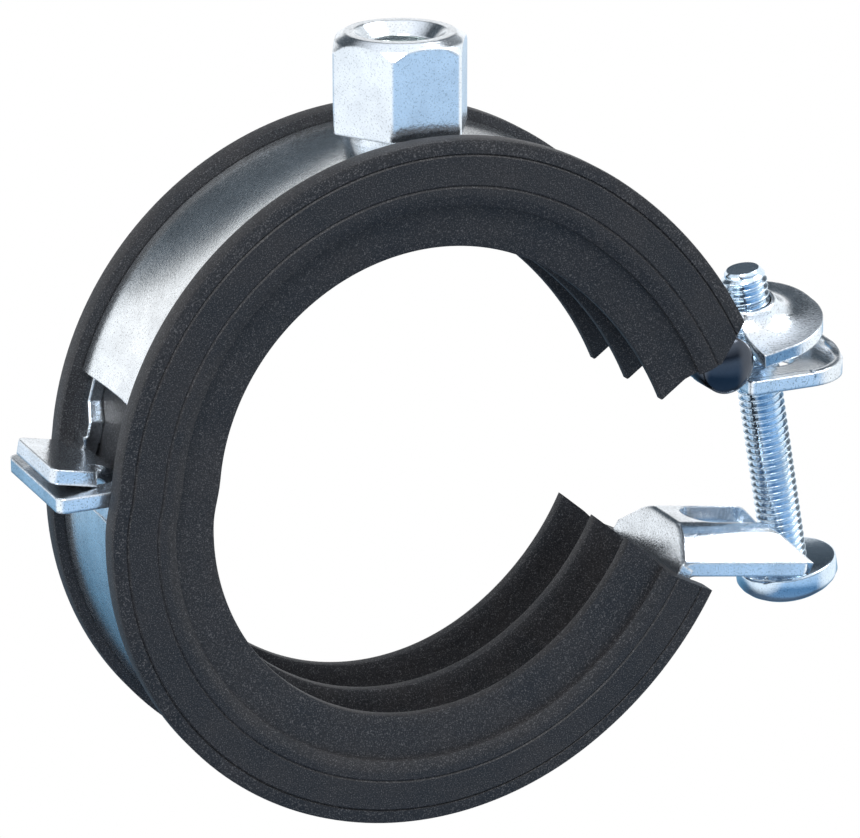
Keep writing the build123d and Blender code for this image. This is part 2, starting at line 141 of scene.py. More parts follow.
def ramp(nodes, links, source, stops):
    node = nodes.new("ShaderNodeValToRGB")
    links.new(source, node.inputs["Fac"])
    elements = node.color_ramp.elements
    while len(elements) < len(stops):
        elements.new(0.5)
    for element, (place, colour) in zip(elements, stops):
        element.position = place
        element.color = (*colour, 1.0) if len(colour) == 3 else colour
    return node


def grey(value):
    return (value, value, value)


def blend_colour(nodes, links, kind, factor, first, second):
    node = nodes.new("ShaderNodeMix")
    node.data_type = "RGBA"
    node.blend_type = kind
    if isinstance(factor, float):
        node.inputs["Factor"].default_value = factor
    else:
        links.new(factor, node.inputs["Factor"])
    for socket, value in ((node.inputs[6], first), (node.inputs[7], second)):
        if isinstance(value, tuple):
            socket.default_value = (*value, 1.0)
        else:
            links.new(value, socket)
    return node.outputs[2]


def painted_dark_in_curls(nodes, links, place):
    # One within the rolled edges under the lining's end, where the zinc's colour is painted near black: a painted
    # reflection of the black lining, with painted shade.
    split = nodes.new("ShaderNodeSeparateXYZ")
    links.new(place, split.inputs[0])
    flat = nodes.new("ShaderNodeCombineXYZ")
    links.new(split.outputs["X"], flat.inputs["X"])
    links.new(split.outputs["Z"], flat.inputs["Z"])
    gap = nodes.new("ShaderNodeVectorMath")
    gap.operation = "DISTANCE"
    links.new(flat.outputs[0], gap.inputs[0])
    gap.inputs[1].default_value = (CURL_PLACE[0] * MM, 0.0, CURL_PLACE[1] * MM)
    near = nodes.new("ShaderNodeMath")
    near.operation = "LESS_THAN"
    links.new(gap.outputs["Value"], near.inputs[0])
    near.inputs[1].default_value = CURL_RADIUS * MM
    width = nodes.new("ShaderNodeMath")
    width.operation = "ABSOLUTE"
    links.new(split.outputs["Y"], width.inputs[0])
    outer = nodes.new("ShaderNodeMath")
    outer.operation = "GREATER_THAN"
    links.new(width.outputs[0], outer.inputs[0])
    outer.inputs[1].default_value = CURL_GAP_HALF * MM
    both = nodes.new("ShaderNodeMath")
    both.operation = "MULTIPLY"
    links.new(near.outputs[0], both.inputs[0])
    links.new(outer.outputs[0], both.inputs[1])
    return both.outputs[0]


def zinc_plate(
    name, edge=0.0003, speckle=1.0, tint=(0.86, 0.91, 0.96), low=0.10, high=0.26, paint_curl_dark=False
):
    # Bright zinc over rolled steel: a fine grain that scatters, with darker pin pricks.
    # Low and high are the ends of its roughness, and edge is the radius its corners are softened to.
    material, nodes, links, shader = start_material(name)
    place = nodes.new("ShaderNodeTexCoord").outputs["Object"]
    shader.inputs["Metallic"].default_value = 1.0
    cloud = noise(nodes, links, 230.0, 4.0, 0.6, place)
    grain = noise(nodes, links, 4200.0, 2.0, 0.6, place)
    fleck = noise(nodes, links, 5600.0, 2.0, 0.6, place)
    deep = tuple(c * (0.92 - 0.10 * speckle) for c in tint)
    body = ramp(nodes, links, cloud.outputs["Fac"], [(0.35, deep), (0.62, tint)])
    dark = ramp(nodes, links, fleck.outputs["Fac"], [(0.32, grey(0.25)), (0.44, grey(1.0))])
    colour = blend_colour(
        nodes, links, "MULTIPLY", 0.6 * speckle, body.outputs["Color"], dark.outputs["Color"]
    )
    if paint_curl_dark:
        # Painted reflection and shade: near the curls the colour is painted near black, standing for the black
        # lining the zinc reflects.
        painted_dark_near_curls = painted_dark_in_curls(nodes, links, place)
        colour = blend_colour(nodes, links, "MIX", painted_dark_near_curls, colour, (0.05, 0.06, 0.075))
    links.new(colour, shader.inputs["Base Color"])
    rough = nodes.new("ShaderNodeMapRange")
    links.new(grain.outputs["Fac"], rough.inputs["Value"])
    rough.inputs["From Min"].default_value = 0.3
    rough.inputs["From Max"].default_value = 0.7
    rough.inputs["To Min"].default_value = low
    rough.inputs["To Max"].default_value = high
    links.new(rough.outputs["Result"], shader.inputs["Roughness"])
    soft_edge = nodes.new("ShaderNodeBevel")
    soft_edge.samples = 6
    soft_edge.inputs["Radius"].default_value = edge
    bump = nodes.new("ShaderNodeBump")
    bump.inputs["Strength"].default_value = 0.26 * speckle
    bump.inputs["Distance"].default_value = 0.00006
    links.new(grain.outputs["Fac"], bump.inputs["Height"])
    links.new(soft_edge.outputs["Normal"], bump.inputs["Normal"])
    links.new(bump.outputs["Normal"], shader.inputs["Normal"])
    return material


def moulded_rubber(name):
    # Matt black with fine pits and pale specks.
    material, nodes, links, shader = start_material(name)
    place = nodes.new("ShaderNodeTexCoord").outputs["Object"]
    cloud = noise(nodes, links, 160.0, 5.0, 0.65, place)
    grain = noise(nodes, links, 3400.0, 3.0, 0.65, place)
    fleck = noise(nodes, links, 7600.0, 1.0, 0.5, place)
    shades = [(0.3, (0.009, 0.011, 0.015)), (0.7, (0.023, 0.022, 0.024))]
    body = ramp(nodes, links, cloud.outputs["Fac"], shades)
    dust = ramp(nodes, links, fleck.outputs["Fac"], [(0.54, grey(0.0)), (0.74, grey(1.0))])
    speck = (0.13, 0.132, 0.14)
    colour = blend_colour(nodes, links, "MIX", dust.outputs["Color"], body.outputs["Color"], speck)
    pit = ramp(nodes, links, grain.outputs["Fac"], [(0.34, grey(0.3)), (0.48, grey(1.0))])
    colour = blend_colour(nodes, links, "MULTIPLY", 0.8, colour, pit.outputs["Color"])
    links.new(colour, shader.inputs["Base Color"])
    shader.inputs["Roughness"].default_value = 0.55
    shader.inputs["Specular IOR Level"].default_value = 0.42
    bump = nodes.new("ShaderNodeBump")
    bump.inputs["Strength"].default_value = 0.5
    bump.inputs["Distance"].default_value = 0.00012
    links.new(grain.outputs["Fac"], bump.inputs["Height"])
    links.new(bump.outputs["Normal"], shader.inputs["Normal"])
    return material


def give(obj, material):
    obj.data.materials.clear()
    obj.data.materials.append(material)


def give_node(name, material):
    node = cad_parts[name]
    for slot in node.material_slots:
        slot.material = material


# ---------------------------------------------------------------- modelling helpers


def nothing_selected():
    if bpy.context.object and bpy.context.object.mode != "OBJECT":
        bpy.ops.object.mode_set(mode="OBJECT")
    bpy.ops.object.select_all(action="DESELECT")


def start_piece(name):
    obj = bpy.context.object
    obj.name = name
    obj.data.name = name
    return obj


def select_only(*objs):
    nothing_selected()
    for obj in objs:
        obj.select_set(True)
    bpy.context.view_layer.objects.active = objs[0]


def edit_whole():
    bpy.ops.object.mode_set(mode="EDIT")
    bpy.ops.mesh.select_all(action="SELECT")


def join_as(name, objs):
    select_only(*objs)
    bpy.ops.object.join()
    return start_piece(name)


def merge_and_face_out():
    edit_whole()
    bpy.ops.mesh.remove_doubles(threshold=1e-6)
    bpy.ops.mesh.normals_make_consistent(inside=False)
    bpy.ops.object.mode_set(mode="OBJECT")


def face_up(obj):
    # A sheet is turned over when most of it faces down.
    merge_and_face_out()
    if sum(polygon.normal.z for polygon in obj.data.polygons) < 0:
        edit_whole()
        bpy.ops.mesh.flip_normals()
        bpy.ops.object.mode_set(mode="OBJECT")


def soften_edges(obj, width, segments):
    bevel = obj.modifiers.new("rim", "BEVEL")
    bevel.width = width * MM
    bevel.segments = segments
    bevel.limit_method = "ANGLE"
    bevel.angle_limit = radians(50)
    return bevel


def finish_piece(obj, angle=35.0):
    # Modifiers and place go into the mesh, and only edges sharper than the angle stay sharp.
    select_only(obj)
    for modifier in list(obj.modifiers):
        bpy.ops.object.modifier_apply(modifier=modifier.name)
    merge_and_face_out()
    bpy.ops.object.transform_apply(location=True, rotation=True, scale=True)
    bpy.ops.object.shade_smooth_by_angle(angle=radians(angle))
    return obj


def on_ring(r, y, angle, centre=(0.0, 0.0)):
    turn = radians(angle)
    return (
        (centre[0] + r * cos(turn)) * MM,
        y * MM,
        (centre[1] + r * sin(turn)) * MM,
    )


def ring_loop(points, angle, centre=(0.0, 0.0)):
    # A closed loop of edges laid out as the lining's section at one place of the ring.
    nothing_selected()
    bpy.ops.mesh.primitive_circle_add(vertices=len(points), radius=MM)
    obj = bpy.context.object
    for vertex, (r, y) in zip(obj.data.vertices, points):
        vertex.co = on_ring(r, y, angle, centre)
    return obj


def spin_on(obj, centre, degrees_to_turn, steps):
    # Continues the selected loop round an axis along Y.
    bpy.ops.mesh.spin(
        steps=steps,
        dupli=False,
        angle=radians(degrees_to_turn),
        use_auto_merge=False,
        center=(centre[0] * MM, 0.0, centre[1] * MM),
        axis=(0.0, 1.0, 0.0),
    )


def flare_centre(start, flare, centre=(0.0, 0.0)):
    turn = radians(start)
    return (centre[0] - flare * cos(turn), centre[1] - flare * sin(turn))


def rounded(points, cuts):
    # Each listed corner of a closed outline becomes a short arc of three points.
    result = []
    count = len(points)
    for i, point in enumerate(points):
        size = cuts.get(i, 0.0)
        if not size:
            result.append(point)
            continue
        before, after = points[i - 1], points[(i + 1) % count]
        corner = Vector(point)
        to_before = (Vector(before) - corner)
        to_after = (Vector(after) - corner)
        reach_before = min(size, to_before.length * 0.45)
        reach_after = min(size, to_after.length * 0.45)
        first = corner + to_before.normalized() * reach_before
        last = corner + to_after.normalized() * reach_after
        middle = (first + last) * 0.25 + corner * 0.5
        result += [tuple(first), tuple(middle), tuple(last)]
    return result


def lining_section():
    floor = CREST_RADIUS + RIB_HEIGHT
    half, lip = LINING_HALF, LIP_RADIUS
    points = []
    cuts = {}

    def add(r, y, cut=0.0):
        if cut:
            cuts[len(points)] = cut
        points.append((r, y))

    # Front face with its fine parting line, round the lip and into the channel
    add(FACE_RADIUS, -half, 0.2)
    add(FACE_RADIUS + 0.75, -half)
    add(FACE_RADIUS + 0.95, -half + 0.14)
    add(FACE_RADIUS + 1.1, -half)
    add(lip - 1.70, -half)
    add(lip - 1.50, -half + 0.2)
    add(lip - 1.40, -half + 0.05)
    add(lip, -half + 0.1, 0.3)
    add(lip, -CHANNEL_HALF, 0.3)
    add(CHANNEL_RADIUS, -CHANNEL_HALF)
    add(CHANNEL_RADIUS, CHANNEL_HALF)
    add(lip, CHANNEL_HALF, 0.3)
    add(lip, half - 0.1, 0.3)
    add(lip - 1.3, half - 0.06)
    add(lip - 1.45, half)
    add(FACE_RADIUS, half, 0.25)
    add(floor + 0.02, half - 0.42, 0.3)
    add(floor + 0.02, half - 0.62, 0.1)
    add(floor + 0.4, RIB_PITCH + 1.54, 0.06)
    for middle in (RIB_PITCH, 0.0, -RIB_PITCH):
        add(floor, middle + 1.38, 0.3)
        add(CREST_RADIUS + 1.6, middle + 0.86)
        add(CREST_RADIUS, middle + 0.6, 0.2)
        add(CREST_RADIUS, middle - 0.6, 0.2)
        add(CREST_RADIUS + 1.6, middle - 0.76)
        add(floor, middle - 1.08, 0.3)
    add(floor + 0.4, -RIB_PITCH - 1.25, 0.1)
    add(floor + 0.02, -half + 0.85, 0.15)
    add(floor + 0.02, -half + 0.42, 0.3)
    return rounded(points, cuts)


def extended(start, end, reach):
    # A point past the end of the way from start to end.
    way = Vector(end) - Vector(start)
    return tuple(Vector(end) + way.normalized() * reach)


def prism(name, outline, half):
    # A solid along Y with its outline given in the XZ plane.
    nothing_selected()
    bpy.ops.mesh.primitive_circle_add(vertices=len(outline), radius=MM, fill_type="NGON")
    obj = start_piece(name)
    for vertex, (x, z) in zip(obj.data.vertices, outline):
        vertex.co = (x * MM, -half * MM, z * MM)
    edit_whole()
    bpy.ops.mesh.extrude_region_move(TRANSFORM_OT_translate={"value": (0, 2 * half * MM, 0)})
    bpy.ops.mesh.select_all(action="SELECT")
    bpy.ops.mesh.normals_make_consistent(inside=False)
    bpy.ops.object.mode_set(mode="OBJECT")
    return obj


def subtract(obj, tool):
    # The tool is used up.
    cut = obj.modifiers.new("cut", "BOOLEAN")
    cut.operation = "DIFFERENCE"
    cut.object = tool
    cut.solver = "EXACT"
    select_only(obj)
    bpy.ops.object.modifier_apply(modifier=cut.name)
    bpy.data.objects.remove(tool, do_unlink=True)


def half_ring(name, section, centre, first, flare_start, flare, last, cut, outside_z):
    # A ring of rubber from the hinge to its cut end; it stays open at the hinge.
    obj = ring_loop(section, first, centre)
    obj = start_piece(name)
    edit_whole()
    spin_on(obj, centre, flare_start - first, int(abs(flare_start - first) / 1.8))
    flared = flare_centre(flare_start, flare, centre)
    spin_on(obj, flared, last - flare_start, int(abs(last - flare_start) / 1.4))
    bpy.ops.mesh.select_all(action="SELECT")
    bpy.ops.mesh.fill_holes(sides=0)
    bpy.ops.mesh.normals_make_consistent(inside=False)
    bpy.ops.object.mode_set(mode="OBJECT")
    line = [extended(cut[1], cut[0], 9.0)] + cut + [extended(cut[-2], cut[-1], 9.0)]
    far = 2 * LIP_RADIUS
    outline = line + [(far, line[-1][1]), (far, outside_z), (line[0][0], outside_z)]
    subtract(obj, prism("waste", outline, 3 * LINING_HALF))
    bpy.ops.object.mode_set(mode="EDIT")
    bpy.ops.mesh.select_all(action="DESELECT")
    bpy.ops.object.mode_set(mode="OBJECT")
    for polygon in obj.data.polygons:
        polygon.select = len(polygon.vertices) > 30 and polygon.center.x < 0
    bpy.ops.object.mode_set(mode="EDIT")
    bpy.ops.mesh.select_mode(type="FACE")
    bpy.ops.mesh.delete(type="ONLY_FACE")
    bpy.ops.object.mode_set(mode="OBJECT")
    return obj


def make_lining():
    # One ribbed strip, bridged over at the hinge, where it bends.
    section = lining_section()
    far = 2 * LIP_RADIUS
    upper = half_ring(
        "upper", section, (0.0, 0.0), 174.0, UPPER_FLARE_START, UPPER_FLARE, 14.0, UPPER_CUT, -far
    )
    lower = half_ring(
        "lower", section, LOWER_CENTRE, -181.0, LOWER_FLARE_START, LOWER_FLARE, -14.0, LOWER_CUT, far
    )
    strip = join_as("rubber_lining", [upper, lower])
    bpy.ops.object.mode_set(mode="EDIT")
    bpy.ops.mesh.select_all(action="DESELECT")
    bpy.ops.object.mode_set(mode="OBJECT")
    open_count = {}
    for polygon in strip.data.polygons:
        for key in polygon.edge_keys:
            open_count[key] = open_count.get(key, 0) + 1
    for edge in strip.data.edges:
        ends = [strip.data.vertices[i].co for i in edge.vertices]
        edge.select = open_count.get(edge.key, 0) == 1 and ends[0].x < -0.015
    bpy.ops.object.mode_set(mode="EDIT")
    bpy.ops.mesh.select_mode(type="EDGE")
    bpy.ops.mesh.bridge_edge_loops(number_cuts=6, interpolation="SURFACE", smoothness=1.0)
    bpy.ops.mesh.select_mode(type="VERT")
    bpy.ops.object.mode_set(mode="OBJECT")
    finish_piece(strip, 32.0)
    give(strip, moulded_rubber("ribbed_rubber"))
    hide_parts("upper_lining", "lower_lining")
    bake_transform(strip)
    return strip


# ---------------------------------------------------------------- closing screw


def screw_matrix():
    # The seat of the screw's head, turned to the screw's lean.
    drop = SCREW_TIP[1] - SCREW_HEAD_TOP
    x = SCREW_TIP[0] + drop * tan(radians(SCREW_LEAN))
    return Matrix.Translation((x * MM, 0.0, SCREW_HEAD_TOP * MM)) @ Matrix.Rotation(
        radians(-SCREW_LEAN), 4, "Y"
    )


def thread_line(name, root, crest, pitch):
    # One pitch of a thread's flank, as a chain of edges ready for the screw modifier.
    nothing_selected()
    bpy.ops.mesh.primitive_circle_add(vertices=7, radius=MM)
    obj = start_piece(name)
    outline = [
        (root, 0.0),
        (root, 0.09),
        (crest, 0.42),
        (crest, 0.58),
        (root, 0.91),
        (root, 1.0),
        (root, 0.5),
    ]
    for vertex, (r, share) in zip(obj.data.vertices, outline):
        vertex.co = (r * MM, 0.0, share * pitch * MM)
    bpy.ops.object.mode_set(mode="EDIT")
    bpy.ops.mesh.select_all(action="DESELECT")
    bpy.ops.object.mode_set(mode="OBJECT")
    obj.data.vertices[6].select = True
    bpy.ops.object.mode_set(mode="EDIT")
    bpy.ops.mesh.delete(type="VERT")
    bpy.ops.object.mode_set(mode="OBJECT")
    return obj


def wind_thread(obj, pitch, turns, steps):
    screw = obj.modifiers.new("thread", "SCREW")
    screw.axis = "Z"
    screw.angle = 2 * pi
    screw.screw_offset = pitch * MM
    screw.iterations = turns
    screw.steps = steps
    screw.render_steps = steps
    screw.use_merge_vertices = True
    screw.merge_threshold = 1e-6
    select_only(obj)
    bpy.ops.object.modifier_apply(modifier=screw.name)


def cut_across(cuts, fill):
    # Takes off what lies past each height, on the side its way points to.
    bpy.ops.object.mode_set(mode="EDIT")
    for z, way in cuts:
        bpy.ops.mesh.select_all(action="SELECT")
        bpy.ops.mesh.bisect(
            plane_co=(0, 0, z * MM),
            plane_no=(0, 0, way),
            use_fill=fill,
            clear_outer=True,
            threshold=1e-7,
        )
    bpy.ops.object.mode_set(mode="OBJECT")


def make_screw_head():
    nothing_selected()
    bpy.ops.mesh.primitive_cylinder_add(
        vertices=64, radius=HEAD_RADIUS * MM, depth=HEAD_RIM * MM, location=(0, 0, -0.95 * MM)
    )
    head = start_piece("head")
    bpy.ops.object.transform_apply(location=True)
    bpy.ops.object.mode_set(mode="EDIT")
    bpy.ops.mesh.select_all(action="DESELECT")
    bpy.ops.object.mode_set(mode="OBJECT")
    for polygon in head.data.polygons:
        polygon.select = polygon.normal.z < -0.9
    bpy.ops.object.mode_set(mode="EDIT")
    bpy.ops.mesh.select_mode(type="FACE")
    rim, depth = HEAD_RADIUS, 0.0
    for radius, fall in HEAD_DOME:
        bpy.ops.mesh.extrude_region_move(TRANSFORM_OT_translate={"value": (0, 0, -(fall - depth) * MM)})
        share = radius / rim
        bpy.ops.transform.resize(value=(share, share, 1.0), center_override=(0.0, 0.0, 0.0))
        rim, depth = radius, fall
    bpy.ops.mesh.select_mode(type="VERT")
    bpy.ops.object.mode_set(mode="OBJECT")
    bpy.ops.object.modifier_apply(modifier=soften_edges(head, 0.28, 3).name)
    # Slot across the dome
    nothing_selected()
    bpy.ops.mesh.primitive_cube_add(size=1.0, location=(0, 0, -5.1 * MM))
    slot = start_piece("slot")
    slot.scale = [side * MM for side in DRIVE_SLOT]
    slot.rotation_euler = (0, 0, radians(20))
    bpy.ops.object.transform_apply(location=True, rotation=True, scale=True)
    subtract(head, slot)
    return head


def make_screw():
    length = (SCREW_TIP[1] - SCREW_HEAD_TOP) / cos(radians(SCREW_LEAN))
    turns = int(length / SCREW_PITCH) + 3
    obj = thread_line("closing_screw_threaded", THREAD_ROOT, THREAD_CREST, SCREW_PITCH)
    wind_thread(obj, SCREW_PITCH, turns, 36)
    # The thread starts within the head
    for vertex in obj.data.vertices:
        vertex.co.z -= SCREW_PITCH * MM
    cut_across([(length, 1.0), (-0.3, -1.0)], fill=True)
    # Chamfered tip
    for vertex in obj.data.vertices:
        height = length - vertex.co.z / MM
        if height < 0.9:
            limit = (1.75 + 0.75 * height) * MM
            r = sqrt(vertex.co.x ** 2 + vertex.co.y ** 2)
            if r > limit:
                vertex.co.x *= limit / r
                vertex.co.y *= limit / r
    obj = join_as("closing_screw_threaded", [obj, make_screw_head()])
    obj.matrix_world = screw_matrix()
    finish_piece(obj, 38.0)
    zinc = zinc_plate("zinc_on_screw", edge=0.0001, speckle=0.6, tint=(0.74, 0.86, 0.97), low=0.07, high=0.16)
    give(obj, zinc)
    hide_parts("closing_screw")
    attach(obj, "closing_screw")
    return obj


# ---------------------------------------------------------------- pressed plates


def mapped_grid(name, across, along, place):
    # A grid whose point (i, j), each from 0 to 1, goes where place says, in millimetres.
    nothing_selected()
    bpy.ops.mesh.primitive_grid_add(x_subdivisions=across, y_subdivisions=along, size=2.0)
    obj = start_piece(name)
    for vertex in obj.data.vertices:
        x, y, z = place((vertex.co.x + 1) / 2, (vertex.co.y + 1) / 2)
        vertex.co = (x * MM, y * MM, z * MM)
    return obj


def thicken(obj, thickness):
    # The wall grows to the back of the sheet, or to its front where the thickness is negative.
    solid = obj.modifiers.new("thickness", "SOLIDIFY")
    solid.thickness = thickness * MM
    solid.offset = -1.0
    solid.use_even_offset = False
    select_only(obj)
    bpy.ops.object.modifier_apply(modifier=solid.name)


def between(value, stops):
    # Straight interpolation through (place, height) stops.
    for (a, low), (b, high) in zip(stops, stops[1:]):
        if value <= b:
            return low + (high - low) * max(0.0, (value - a)) / (b - a)
    return stops[-1][1]


def soft_least(values, softness):
    # The least of the values, with the change from one to the next rounded off.
    least = min(values)
    return least - softness * log(sum(exp((least - v) / softness) for v in values))


def fork_height(u, v):
    # The ridge's height at u along the fork and v across it: a ramp, a ridge and a falling tail.
    side = between(abs(v), [(0.0, 3.12), (2.9, 3.1), (3.7, 2.85), (4.6, 2.4), (7.55, 0.06)])
    rise = FORK_RAMP * (u - 0.02) + 0.08
    tail = FORK_TAIL * (FORK_LENGTH + 0.12 - u)
    height = soft_least([side, rise, tail], 0.16)
    floor = soft_least([rise, 0.09], 0.1) if u < 2.5 else 0.05
    return max(height, floor)


def fork_row(i):
    # Where one row across the fork lies, and how far the slot's edge is from the middle there.
    half = SLOT_HALF - FITTED
    if i < 0.36:
        return between(i, [(0.0, -0.72), (0.3, 2.6), (0.36, FORK_SLOT_START)]), 0.0
    if i < 0.58:
        turn = pi / 2 * (i - 0.36) / 0.22
        return FORK_SLOT_START + half * (1 - cos(turn)), half * sin(turn)
    return between(i, [(0.58, FORK_SLOT_START + half), (1.0, FORK_LENGTH + FITTED)]), half


def make_fork():
    # The lower half's end: pressed up into a ridge round the slot that takes the screw.
    prongs = []
    for side in (-1, 1):

        def place(i, j):
            u, edge = fork_row(i)
            v = side * (edge + (FORK_HALF + FITTED - edge) * j)
            return (u, v, fork_height(u, v))

        prongs.append(mapped_grid("prong", 100, 32, place))
    fork = join_as("fork_formed", prongs)
    face_up(fork)
    thicken(fork, PLATE_THICKNESS + 0.05)
    start = Matrix.Translation((FORK_START[0] * MM, 0.0, FORK_START[1] * MM))
    fork.matrix_world = start @ Matrix.Rotation(radians(-FORK_SLOPE), 4, "Y")
    finish_piece(fork, 30.0)
    give(fork, zinc_plate("zinc_on_fork", edge=0.0004))
    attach(fork, "lower_half")
    return fork


def nut_plate_reach(angle):
    # How far the plate's outline lies from the screw's axis in one direction.
    way = (cos(angle), sin(angle))
    nose_x, nose_y = NUT_PLATE_FRONT - NUT_PLATE_NOSE, NUT_PLATE_HALF - NUT_PLATE_NOSE
    limits = []
    if way[0] < 0:
        limits.append(-NUT_PLATE_BACK / way[0])
    if abs(way[1]) > 1e-6:
        limits.append(NUT_PLATE_HALF / abs(way[1]))
    if way[0] > 0:
        limits.append(NUT_PLATE_FRONT / way[0])
    reach = min(limits)
    x, y = reach * way[0], reach * abs(way[1])
    if x > nose_x and y > nose_y:
        along = nose_x * way[0] + nose_y * abs(way[1])
        across = nose_x * nose_x + nose_y * nose_y - along * along
        reach = along + sqrt(NUT_PLATE_NOSE * NUT_PLATE_NOSE - across)
    return reach


def make_nut_plate():
    # A plate drawn up bell-like round the thread, resting askew on the ear.
    def place(i, j):
        angle = 2 * pi * i
        r = COLLAR_RADIUS + (nut_plate_reach(angle) - COLLAR_RADIUS) * j ** 1.3
        rise = COLLAR_RISE * exp(-max(0.0, r - COLLAR_RADIUS - 0.35) / 1.35)
        return (r * cos(angle), r * sin(angle), rise - 0.12)

    plate = mapped_grid("nut_plate_formed", 96, 22, place)
    face_up(plate)
    thicken(plate, PLATE_THICKNESS)
    soften_edges(plate, 0.35, 2)
    drop = SCREW_TIP[1] - NUT_PLATE_TOP
    x = SCREW_TIP[0] + drop * tan(radians(SCREW_LEAN))
    plate.matrix_world = (
        Matrix.Translation((x * MM, 0.0, NUT_PLATE_TOP * MM))
        @ Matrix.Rotation(radians(-SCREW_LEAN), 4, "Y")
        @ Matrix.Translation((0.0, 0.0, NUT_PLATE_LIFT * MM))
        @ Matrix.Rotation(radians(NUT_PLATE_TILT), 4, "X")
    )
    finish_piece(plate, 35.0)
    give(plate, zinc_plate("zinc_on_nut_plate", edge=0.0003))
    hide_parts("nut_plate")
    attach(plate, "nut_plate")
    return plate


def make_band(name, body, centre, flare_start, flare, first, last):
    # The strap between the lining's lips is rolled a little hollow.
    flared = flare_centre(flare_start, flare, centre)

    def place(i, j):
        angle = first + (last - first) * i
        y = BAND_HALF * (2 * j - 1)
        r = STRAP_RADIUS + 0.04 + BAND_RISE * (y / BAND_HALF) ** 2
        if abs(angle) < abs(flare_start):
            point = on_ring(r + flare, y, angle, flared)
        else:
            point = on_ring(r, y, angle, centre)
        return [value / MM for value in point]

    band = mapped_grid(name, 110, 14, place)
    if sum(polygon.center.dot(polygon.normal) for polygon in band.data.polygons) < 0:
        edit_whole()
        bpy.ops.mesh.flip_normals()
        bpy.ops.object.mode_set(mode="OBJECT")
    thicken(band, 0.5)
    finish_piece(band, 35.0)
    give(band, zinc_plate("zinc_on_" + name, edge=0.0002, tint=(0.9, 0.94, 0.97), low=0.14))
    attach(band, body)
    return band


def make_curls():
    # The ear is rolled tight on both sides of the screw, and the rolls' ends are peened round.
    rolls = []
    for side in (1, -1):

        def place(i, j):
            turn = 2 * pi * i
            r, y = CURL_PROFILE[int(round(j * (len(CURL_PROFILE) - 1)))]
            return (CURL_PLACE[0] + r * cos(turn), side * y, CURL_PLACE[1] + r * sin(turn))

        rolls.append(mapped_grid("curl", 40, len(CURL_PROFILE) - 1, place))
    curls = join_as("curled_ends", rolls)
    finish_piece(curls, 50.0)
    # The rolls' zinc is painted near black: a painted reflection of the black lining, with painted shade in the
    # rolls.
    give(curls, zinc_plate("zinc_on_curls_painted_dark", speckle=0.3, tint=(0.08, 0.09, 0.11), low=0.08, high=0.16))
    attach(curls, "upper_half")
    return curls


def make_ear_rim():
    # The ear's nose is turned up behind the nut plate, more towards the rear.
    count = len(EAR_RIM_SECTION)

    def place(i, j):
        turn = radians(between(i, [(0.0, -88.0), (0.5, 0.0), (0.55, 0.0), (1.0, 88.0)]))
        side = between(i, [(0.0, -1.0), (0.5, -1.0), (0.55, 1.0), (1.0, 1.0)])
        rise = between(i, [(0.0, 0.12), (0.35, 0.35), (0.7, 1.7), (1.0, 2.1)])
        out, up = EAR_RIM_SECTION[min(count - 1, int(round(j * count)))]
        r = EAR_NOSE + out
        z = EAR_TOP + (up * rise if up > 0 else up)
        return (EAR_END - EAR_NOSE + r * cos(turn), side * (EAR_HALF - EAR_NOSE) + r * sin(turn), z)

    rim = mapped_grid("ear_rim", 48, count, place)
    edit_whole()
    bpy.ops.mesh.remove_doubles(threshold=1e-6)
    bpy.ops.mesh.fill_holes(sides=0)
    bpy.ops.object.mode_set(mode="OBJECT")
    finish_piece(rim, 60.0)
    give(rim, zinc_plate("zinc_on_ear_rim", edge=0.0004))
    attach(rim, "upper_half")
    return rim


def make_bore_thread():
    turns = int((BORE_TOP - BORE_BOTTOM) / BORE_PITCH) + 1
    thread = thread_line("boss_thread_turns", BORE_RADIUS + 0.03, BORE_RADIUS - THREAD_DEPTH, BORE_PITCH)
    wind_thread(thread, BORE_PITCH, turns, 40)
    cut_across([(BORE_TOP - BORE_BOTTOM, 1.0), (0.4, -1.0)], fill=False)
    thicken(thread, -0.1)
    thread.matrix_world = Matrix.Translation((0.0, 0.0, BORE_BOTTOM * MM))
    finish_piece(thread, 38.0)
    give(thread, zinc_plate("zinc_in_bore", edge=0.0001, speckle=0.5, tint=(0.60, 0.66, 0.66)))
    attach(thread, "upper_half")
    return thread


# ---------------------------------------------------------------- light and camera


